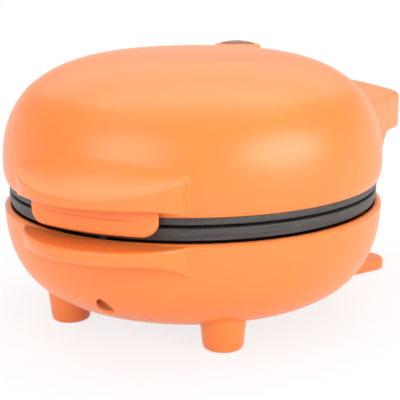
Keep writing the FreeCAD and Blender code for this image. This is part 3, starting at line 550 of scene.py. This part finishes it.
def baseSections():
    phi = sectionAngles(180, 60)
    degrees = np.degrees(phi)
    side = np.clip(degrees / baseLip["halfAngle"], 0, 1)
    lower = baseLip["lowerZ"] - baseLip["lowerDrop"] * side ** baseLip["lowerPower"]
    out = bowl["radius"] + baseLip["endReach"] + (baseLip["reach"] - baseLip["endReach"]) * (1 - side ** 2)
    crease = np.full_like(phi, baseLip["creaseZ"])
    past = smooth((degrees - baseLip["halfAngle"]) / baseLip["endFade"] + 0.5)
    lowOut = bowlRadius(lower) + (1 - past) * (out - baseLip["undercut"] - bowlRadius(lower))
    join = lower - baseLip["joinDrop"]
    start = pair(bowlRadius(join - baseLip["blend"]), join - baseLip["blend"])
    # Where the shelf runs into the rim's rounded edge, and past the lip's end that edge alone
    edge = bowl["radius"] - bowl["rimRound"]
    shelfR = edge + bowl["rimRound"] * baseLip["shelfShare"] * (1 + side ** 2)
    past = past[:, None]
    shelf = pair(shelfR, crease + baseLip["slope"] * (out - shelfR))
    swing = np.radians(baseLip["rimAngles"])
    arc = pair(edge + bowl["rimRound"] * np.cos(swing), bowl["rimZ"] - bowl["rimRound"] * (1 - np.sin(swing)))
    corners = [start, pair(bowlRadius(join), join), pair(lowOut, lower),
               pair(out, crease) + past * (arc[0] - pair(out, crease)), shelf + past * (arc[1] - shelf),
               pair(edge + bowl["rimFlat"], bowl["rimZ"]), pair(bowl["radius"] - bowl["wall"], bowl["rimZ"])]
    corners = [corner + np.zeros((len(phi), 2)) for corner in corners]
    reaches = [baseLip["joinRound"], baseLip["lowerRound"], baseLip["creaseRound"], bowl["rimEdge"],
               bowl["rimEdge"]]
    rows = roundedRows(corners, reaches)
    outside = np.arange(len(rows)) < 1 + 3 * (sectionSteps["arc"] + sectionSteps["straight"])
    body = bowlRadius(rows[..., 1])
    eased = body + easedRise(rows[..., 0] - body, baseLip["fillet"])
    rows[..., 0] = np.where(outside[:, None], eased, rows[..., 0])
    flat = np.zeros_like(phi)
    under = pair(np.linspace(0, bowl["flat"], 8)[:-1, None] + flat, bowl["floorZ"])
    depth = bowl["rimZ"] - bowl["floorZ"]
    startTurn = np.arcsin(((bowl["rimZ"] - start[:, 1]) / depth) ** (1 / bowl["upPower"]))
    wall = bowlRows(np.pi / 2 + np.linspace(0, 1, 44)[:-1, None] * (startTurn - np.pi / 2), 0)
    inside = bowlRows(np.linspace(0, np.pi / 2, 22)[1:, None] + flat, bowl["wall"])
    centre = pair(flat, bowl["floorZ"] + bowl["wall"])[None]
    return phi, np.concatenate([under, wall, rows, inside, centre])


def upright(radius, lowZ, highZ, centre, steps=64):
    return spun([(0, lowZ), (radius, lowZ), (radius, highZ), (0, highZ)], [0, 0], centre, steps)


def wellCentres():
    turns = np.radians(wells["angles"])
    return [(wells["circle"] * np.cos(turn), wells["circle"] * np.sin(turn)) for turn in turns]


def wellGrid(centre):
    # A tube from inside the bowl's wall up to a closed end
    bore, tube = wells["radius"], wells["radius"] + wells["wall"]
    rows = np.array([[bore, 0], [bore, 1], [0, 1], [0, 1], [tube, 1], [tube, 0]])
    lift = np.array([0, 0, 0, wells["cap"], wells["cap"], 0])
    grid = revolve(rows, centre, 64)
    wallZ = bowlHeight(np.hypot(grid[..., 0], grid[..., 1])) + bowl["wall"] / 2
    share = grid[..., 2].copy()
    grid[..., 2] = wallZ + share * (wells["topZ"] - wallZ) + lift
    return (grid, True, True, False)


def inletGrid():
    # A stepped cutter along Y: the cord bush's hole through the wall and the seat of its flange
    hole, seat = inlet["bush"] + inlet["play"], inlet["flange"] + inlet["play"]
    deep, far = -inlet["reach"], inlet["reach"]
    rows = np.array([[0, deep], [hole, deep], [hole, 0], [seat, 0], [seat, far], [0, far]])
    grid = revolve(rows, (0, 0), 96)
    seatY = float(bowlRadius(inlet["z"])) - inlet["setback"]
    return (np.stack([grid[..., 0], seatY + grid[..., 2], inlet["z"] + grid[..., 1]], -1), True, False, False)


def postGrid(side):
    # A leg on the bowl's wall that carries two ears round the pin; each column is a closed outline in Y and Z
    def front(x, z):
        onLid = np.where(z > hinge["rimZ"], hinge["clear"], bowlRadius(z) - bowl["wall"] / 2)
        return np.sqrt(np.maximum(onLid ** 2 - x ** 2, 0))

    def rear(z):
        return hinge["rearY"] - hinge["lean"] * (hinge["postTopZ"] - z)

    def outline(x, raised):
        legTop = hinge["legTopZ"]
        upZ = np.linspace(hinge["footZ"], legTop, 24)
        back = np.stack([np.maximum(rear(upZ), front(x, upZ) + hinge["skin"]), upZ], -1)
        downZ = np.concatenate([np.linspace(legTop, hinge["rimZ"] + hinge["skin"], 12),
                                np.linspace(hinge["rimZ"] - hinge["skin"], hinge["footZ"], 14)])
        inner = np.stack([front(x, downZ), downZ], -1)
        turn = np.linspace(hinge["eyeStart"], np.pi, 28)
        eye = np.array([hinge["y"], hinge["z"]]) + hinge["ear"] * np.stack([np.cos(turn), np.sin(turn)], -1)
        neck = np.array([[hinge["y"] - hinge["ear"], legTop + hinge["neck"]]])
        flat = back[-1] + np.linspace(0, 1, 31)[1:-1, None] * (inner[0] - back[-1])
        return np.concatenate([back, np.concatenate([eye, neck]) if raised else flat, inner])

    edges = (hinge["innerIn"], hinge["innerOut"], hinge["outerIn"], hinge["outerOut"])
    columns = []
    for x0, x1, raised in zip(edges, edges[1:], (True, False, True)):
        columns += [(x, outline(x, raised)) for x in np.linspace(x0, x1, 4)]
    grid = np.stack([np.column_stack([np.full(len(rows), x * side), rows]) for x, rows in columns])
    return (grid, False, True, True)


phi, sections = baseSections()
base = piece("baseCasing", [(aroundFront(phi, sections), True, False, False)], "base", "orange",
             ["base_shell"])
wellCuts = [upright(wells["radius"], wells["cutFromZ"], wells["topZ"], centre) for centre in wellCentres()]
cutAway(base, wellCuts + [inletGrid()])
finishMesh(base.data, "orange", 40)
piece("screwWells", [wellGrid(centre) for centre in wellCentres()], "base", "orange")
piece("hingePosts", [postGrid(1), postGrid(-1)], "base", "orange", bevel=0.5)
print("base made")

# Feet and the stand behind them
foot = {"x": 33.5, "y": -40.7, "lowZ": 0.4, "low": 7.4, "top": 9.1, "taper": 16.0, "round": 2.6, "pad": 4.9,
        "pocketZ": 4.2, "bury": 1.2, "cutShare": 0.9, "pocketRound": 0.2, "padRound": 0.4}
stand = {"frontY": 22.0, "frontHalf": 29.0, "rearY": 84.0, "rearHalf": 64.0, "corner": 9.0, "lowZ": 0.4,
         "thick": 4.4, "round": 1.6, "underRound": 0.6, "bossX": 20.0, "bossY": 32.0, "boss": 6.0,
         "bossStart": 1.0, "bossBury": 0.3, "innerShares": (0, 0.35, 0.7)}


def footGrid(side):
    # A tapered round foot, its top cut to lie just inside the bowl's wall
    low = foot["lowZ"]
    wide = foot["low"] + (foot["top"] - foot["low"]) * foot["cutShare"]
    high = low + foot["taper"] * foot["cutShare"]
    corners = [(0, foot["pocketZ"]), (foot["pad"], foot["pocketZ"]), (foot["pad"], low), (foot["low"], low),
               (wide, high), (0, high)]
    reaches = [foot["pocketRound"], foot["padRound"], foot["round"], 0]
    grid = spun(corners, reaches, (foot["x"] * side, foot["y"]), 96)[0]
    top = bowlHeight(np.hypot(grid[..., 0], grid[..., 1])) + foot["bury"]
    grid[..., 2] = np.minimum(grid[..., 2], top)
    return (grid, True, False, False)


def standOutline(steps=14):
    # A rounded trapezoid: an arc at each corner, with outward normals
    plan = np.array([[-stand["frontHalf"], stand["frontY"]], [stand["frontHalf"], stand["frontY"]],
                     [stand["rearHalf"], stand["rearY"]], [-stand["rearHalf"], stand["rearY"]]])
    points, normals = [], []
    for i in range(4):
        here = plan[i]
        before, after = plan[i - 1] - here, plan[(i + 1) % 4] - here
        before, after = before / np.linalg.norm(before), after / np.linalg.norm(after)
        half = math.acos(np.clip(before @ after, -1, 1)) / 2
        middle = (before + after) / np.linalg.norm(before + after)
        centre = here + middle * stand["corner"] / math.sin(half)
        aim = math.atan2(-middle[1], -middle[0])
        turn = np.linspace(aim - (math.pi / 2 - half), aim + (math.pi / 2 - half), steps)
        normals.append(np.stack([np.cos(turn), np.sin(turn)], -1))
        points.append(centre + stand["corner"] * normals[-1])
    return np.concatenate(points), np.concatenate(normals)


def standGrid():
    # The outline carried through a rounded edge profile of inset and height, closed to the middle both ways
    points, normals = standOutline()
    topZ = stand["lowZ"] + stand["thick"]
    swing = np.linspace(0, np.pi / 2, 8)
    upper = pair(stand["round"] * (1 - np.sin(swing)), topZ - stand["round"] * (1 - np.cos(swing)))
    lower = pair(stand["underRound"] * (1 - np.cos(swing)),
                 stand["lowZ"] + stand["underRound"] * (1 - np.sin(swing)))
    profile = np.concatenate([upper, lower])
    ring = points[:, None] - normals[:, None] * profile[None, :, :1]
    rings = np.concatenate([ring, np.broadcast_to(profile[None, :, 1:], ring.shape[:2] + (1,))], -1)
    middle = np.array([0, (stand["frontY"] + stand["rearY"]) / 2, 0])
    shrink = np.array(stand["innerShares"])[None, :, None]
    top = middle * (1 - shrink) + rings[:, :1] * shrink + np.array([0, 0, topZ]) * (1 - shrink)
    bottom = middle * (1 - shrink) + rings[:, -1:] * shrink + np.array([0, 0, stand["lowZ"]]) * (1 - shrink)
    return (np.concatenate([top, rings, bottom[:, ::-1]], 1), True, False, False)


for name, side in (("right", 1), ("left", -1)):
    piece("frontFoot_" + name, [footGrid(side)], "base", "orange", ["front_foot_" + name])
standGrids = [standGrid()]
for side in (1, -1):
    standGrids.append(upright(stand["boss"], stand["lowZ"] + stand["bossStart"],
                              bowl["floorZ"] + stand["bossBury"], (stand["bossX"] * side, stand["bossY"])))
piece("rearStand", standGrids, "base", "orange", ["rear_stand"])
print("feet and stand made")

# Plates: dished discs, ribbed on the faces that meet
plates = {"rim": 73.0, "mouth": 61.8, "floor": 57.8, "step": 0.5, "stepTopZ": 48.0, "lowerBackZ": 46.4,
          "lowerMouthZ": 50.8, "lowerFloorZ": 43.5, "upperBackZ": 54.5, "upperMouthZ": 51.9,
          "upperFloorZ": 58.5, "wall": 2.5, "wallOut": 1.5, "floorRound": 1.5, "mouthRound": 0.8,
          "rimRound": 0.5, "stepRound": 0.15, "backRound": 0.3, "underRound": 1.0}
ribs = {"count": 9, "pitch": 11.0, "low": 4.0, "top": 2.6, "high": 2.5, "margin": 1.5, "end": 3.0,
        "sink": 0.3, "round": 0.5}


def ribGrid(x, faceZ, upward):
    # A trapezoid bar with rounded top edges along Y, run down to the floor at its ends
    half = math.sqrt((plates["floor"] - ribs["margin"]) ** 2 - x ** 2)
    y = np.sin(np.linspace(-np.pi / 2, np.pi / 2, 40)) * half
    near = np.clip((half - np.abs(y)) / ribs["end"], 0, 1)
    high = (ribs["high"] + ribs["sink"]) * np.sqrt(1 - (1 - near) ** 2)
    section = roundedRows([np.array([corner]) for corner in
                           ((-ribs["low"] / 2, 0), (-ribs["top"] / 2, 1), (ribs["top"] / 2, 1),
                            (ribs["low"] / 2, 0))], np.array([ribs["round"], ribs["round"]]), 5, 2)[:, 0]
    across = x + section[None, :, 0] + 0 * y[:, None]
    up = faceZ + upward * (section[None, :, 1] * high[:, None] - ribs["sink"])
    return (np.stack([across, y[:, None] + 0 * across, up], -1), False, True, True)


def plateGrids(mouthZ, backZ, floorZ, upward, step):
    # The plate's own profile turned about the axis, and its ribs
    backFloorZ = floorZ - upward * plates["wall"]
    rim = [(plates["rim"], mouthZ), (plates["rim"], backZ)]
    stepRounds = []
    if step:
        rim = [(plates["rim"], mouthZ), (plates["rim"], plates["stepTopZ"]),
               (plates["rim"] - plates["step"], plates["stepTopZ"]), (plates["rim"] - plates["step"], backZ)]
        stepRounds = [plates["stepRound"], plates["stepRound"]]
    reaches = [plates["floorRound"], plates["mouthRound"], plates["rimRound"], *stepRounds,
               plates["backRound"], plates["underRound"], plates["underRound"]]
    corners = [(0, floorZ), (plates["floor"], floorZ), (plates["mouth"], mouthZ), *rim,
               (plates["mouth"] + plates["wallOut"], backZ),
               (plates["floor"] + plates["wallOut"], backFloorZ), (0, backFloorZ)]
    rows = (np.arange(ribs["count"]) - (ribs["count"] - 1) / 2) * ribs["pitch"]
    return [spun(corners, reaches, steps=200)] + [ribGrid(x, floorZ, upward) for x in rows]


piece("lowerPlate", plateGrids(plates["lowerMouthZ"], plates["lowerBackZ"], plates["lowerFloorZ"], 1, True),
      "base", "nonstick", ["lower_grill_plate"])
piece("upperPlate", plateGrids(plates["upperMouthZ"], plates["upperBackZ"], plates["upperFloorZ"], -1, False),
      "lid", "nonstick", ["upper_grill_plate"])
print("plates made")

# Finishes of the pieces that keep their own solids
finishes = {"steel": ["hinge_pin_right", "hinge_pin_left", "lower_plate_screws", "upper_plate_screws",
                      "lower_clamp_screw", "upper_clamp_screw", "thermostat_screws", "terminal_screws",
                      "fixing_screws"],
            "sheet": ["lower_heat_shield", "upper_heat_shield", "lower_element_clamp", "upper_element_clamp"],
            "sheath": ["lower_heating_element", "upper_heating_element"],
            "ceramic": ["lower_element_caps", "upper_element_caps", "thermal_cutout"],
            "phenolic": ["thermostat"],
            "nylon": ["terminal_block", "lamp_holder"],
            "rubber": ["foot_pads", "cord_bush"],
            "bulb": ["lamp_bulb"]}
for finish, names in finishes.items():
    for name in names:
        nodes[name].data.materials.clear()
        nodes[name].data.materials.append(materials[finish])
print("finishes set")

# Studio: a pale floor that runs into a white surround, soft light from above and both sides
studio = {"floorHalf": 6.0, "floorColour": "#F4F2F1", "floorGlow": (0.8, 1.0), "glowReach": (0.25, 0.7),
          "surround": 0.25, "room": 0.42, "roomStart": (0.05, 0.3), "aim": (0, 0, 0.05),
          "lamps": (("ceiling", (-0.25, 0.47, 0.95), "RECTANGLE", (1.8, 1.4), 6.8),
                    ("overhead", (-0.02, 0.03, 1.1), "RECTANGLE", (1.6, 0.85), 6.2),
                    ("front", (-0.20, -0.95, 0.50), "ELLIPSE", (0.95, 0.65), 5.0),
                    ("right", (0.99, -0.15, 0.42), "ELLIPSE", (1.0, 0.6), 7.6))}
camera = {"target": (0, 0, 42.8), "distance": 392.2, "azimuth": 27.94, "elevation": 13.735, "lens": 86.72,
          "sensor": 36.0, "shiftX": 0.0175, "roll": 0.5}


def pathSeen(tree):
    # One where the camera looks at a surface straight, in a mirror or through glass
    path = addNode(tree, "ShaderNodeLightPath")
    direct, mirrored = path.outputs["Is Camera Ray"], path.outputs["Is Glossy Ray"]
    seen = addNode(tree, "ShaderNodeMath", {0: direct, 1: mirrored}, operation="MAXIMUM")
    return addNode(tree, "ShaderNodeMath", {0: seen.outputs[0], 1: path.outputs["Is Transmission Ray"]},
                   operation="MAXIMUM").outputs[0]


def makeStudio():
    world = bpy.data.worlds.new("studio")
    bpy.context.scene.world = world
    world.use_nodes = True
    tree = world.node_tree
    background = tree.nodes["Background"]
    # White low down, where the sweep is, and grey above it
    toward = addNode(tree, "ShaderNodeTexCoord").outputs["Generated"]
    height = addNode(tree, "ShaderNodeSeparateXYZ", {"Vector": toward}).outputs["Z"]
    room = addNode(tree, "ShaderNodeMapRange", {"Value": height, "From Min": studio["roomStart"][0],
                                                "From Max": studio["roomStart"][1], "To Min": 1.0,
                                                "To Max": studio["room"]})
    level = addNode(tree, "ShaderNodeMapRange", {"Value": pathSeen(tree), "To Min": studio["surround"],
                                                 "To Max": room.outputs[0]})
    background.inputs["Color"].default_value = (1, 1, 1, 1)
    tree.links.new(level.outputs[0], background.inputs["Strength"])
    half = studio["floorHalf"]
    mesh = bpy.data.meshes.new("floor")
    square = [(-half, -half, 0), (half, -half, 0), (half, half, 0), (-half, half, 0)]
    mesh.from_pydata(square, [], [(0, 1, 2, 3)])
    floor = bpy.data.objects.new("floor", mesh)
    bpy.context.scene.collection.objects.link(floor)
    # Paper that the camera sees washed out by light, and that lights the part as plain paper
    material, tree, shader, place = newMaterial("matt_paper_sweep", Base_Color=linear(studio["floorColour"]),
                                                Roughness=0.9)
    glow = addNode(tree, "ShaderNodeEmission", {"Color": (1, 1, 1, 1), "Strength": 1.0})
    far = addNode(tree, "ShaderNodeVectorMath", {0: place}, operation="LENGTH").outputs["Value"]
    wash = addNode(tree, "ShaderNodeMapRange", {"Value": far, "From Min": studio["glowReach"][0],
                                                "From Max": studio["glowReach"][1],
                                                "To Min": studio["floorGlow"][0],
                                                "To Max": studio["floorGlow"][1]})
    share = addNode(tree, "ShaderNodeMath", {0: pathSeen(tree), 1: wash.outputs[0]}, operation="MULTIPLY")
    mix = addNode(tree, "ShaderNodeMixShader", {0: share.outputs[0], 1: shader.outputs[0],
                                                2: glow.outputs[0]})
    tree.links.new(mix.outputs[0], tree.nodes["Material Output"].inputs["Surface"])
    mesh.materials.append(material)
    for name, place, shape, size, power in studio["lamps"]:
        light = bpy.data.lights.new(name, "AREA")
        light.shape = shape
        light.size, light.size_y = size
        light.energy = power
        softbox = bpy.data.objects.new(name, light)
        softbox.location = place
        softbox.rotation_euler = (Vector(studio["aim"]) - Vector(place)).to_track_quat("-Z", "Y").to_euler()
        bpy.context.scene.collection.objects.link(softbox)


def makeCamera():
    azimuth, elevation = math.radians(camera["azimuth"]), math.radians(camera["elevation"])
    back = Vector((math.sin(azimuth) * math.cos(elevation), -math.cos(azimuth) * math.cos(elevation),
                   math.sin(elevation)))
    data = bpy.data.cameras.new("camera")
    data.lens = camera["lens"]
    data.sensor_width = camera["sensor"]
    data.shift_x = camera["shiftX"]
    eye = bpy.data.objects.new("camera", data)
    eye.location = (Vector(camera["target"]) + back * camera["distance"]) * mm
    roll = Quaternion((0, 0, 1), -math.radians(camera["roll"]))
    eye.rotation_euler = (back.to_track_quat("Z", "Y") @ roll).to_euler()
    bpy.context.scene.collection.objects.link(eye)
    bpy.context.scene.camera = eye


makeStudio()
makeCamera()
bpy.context.scene.view_settings.view_transform = "Standard"
print("studio and camera set")
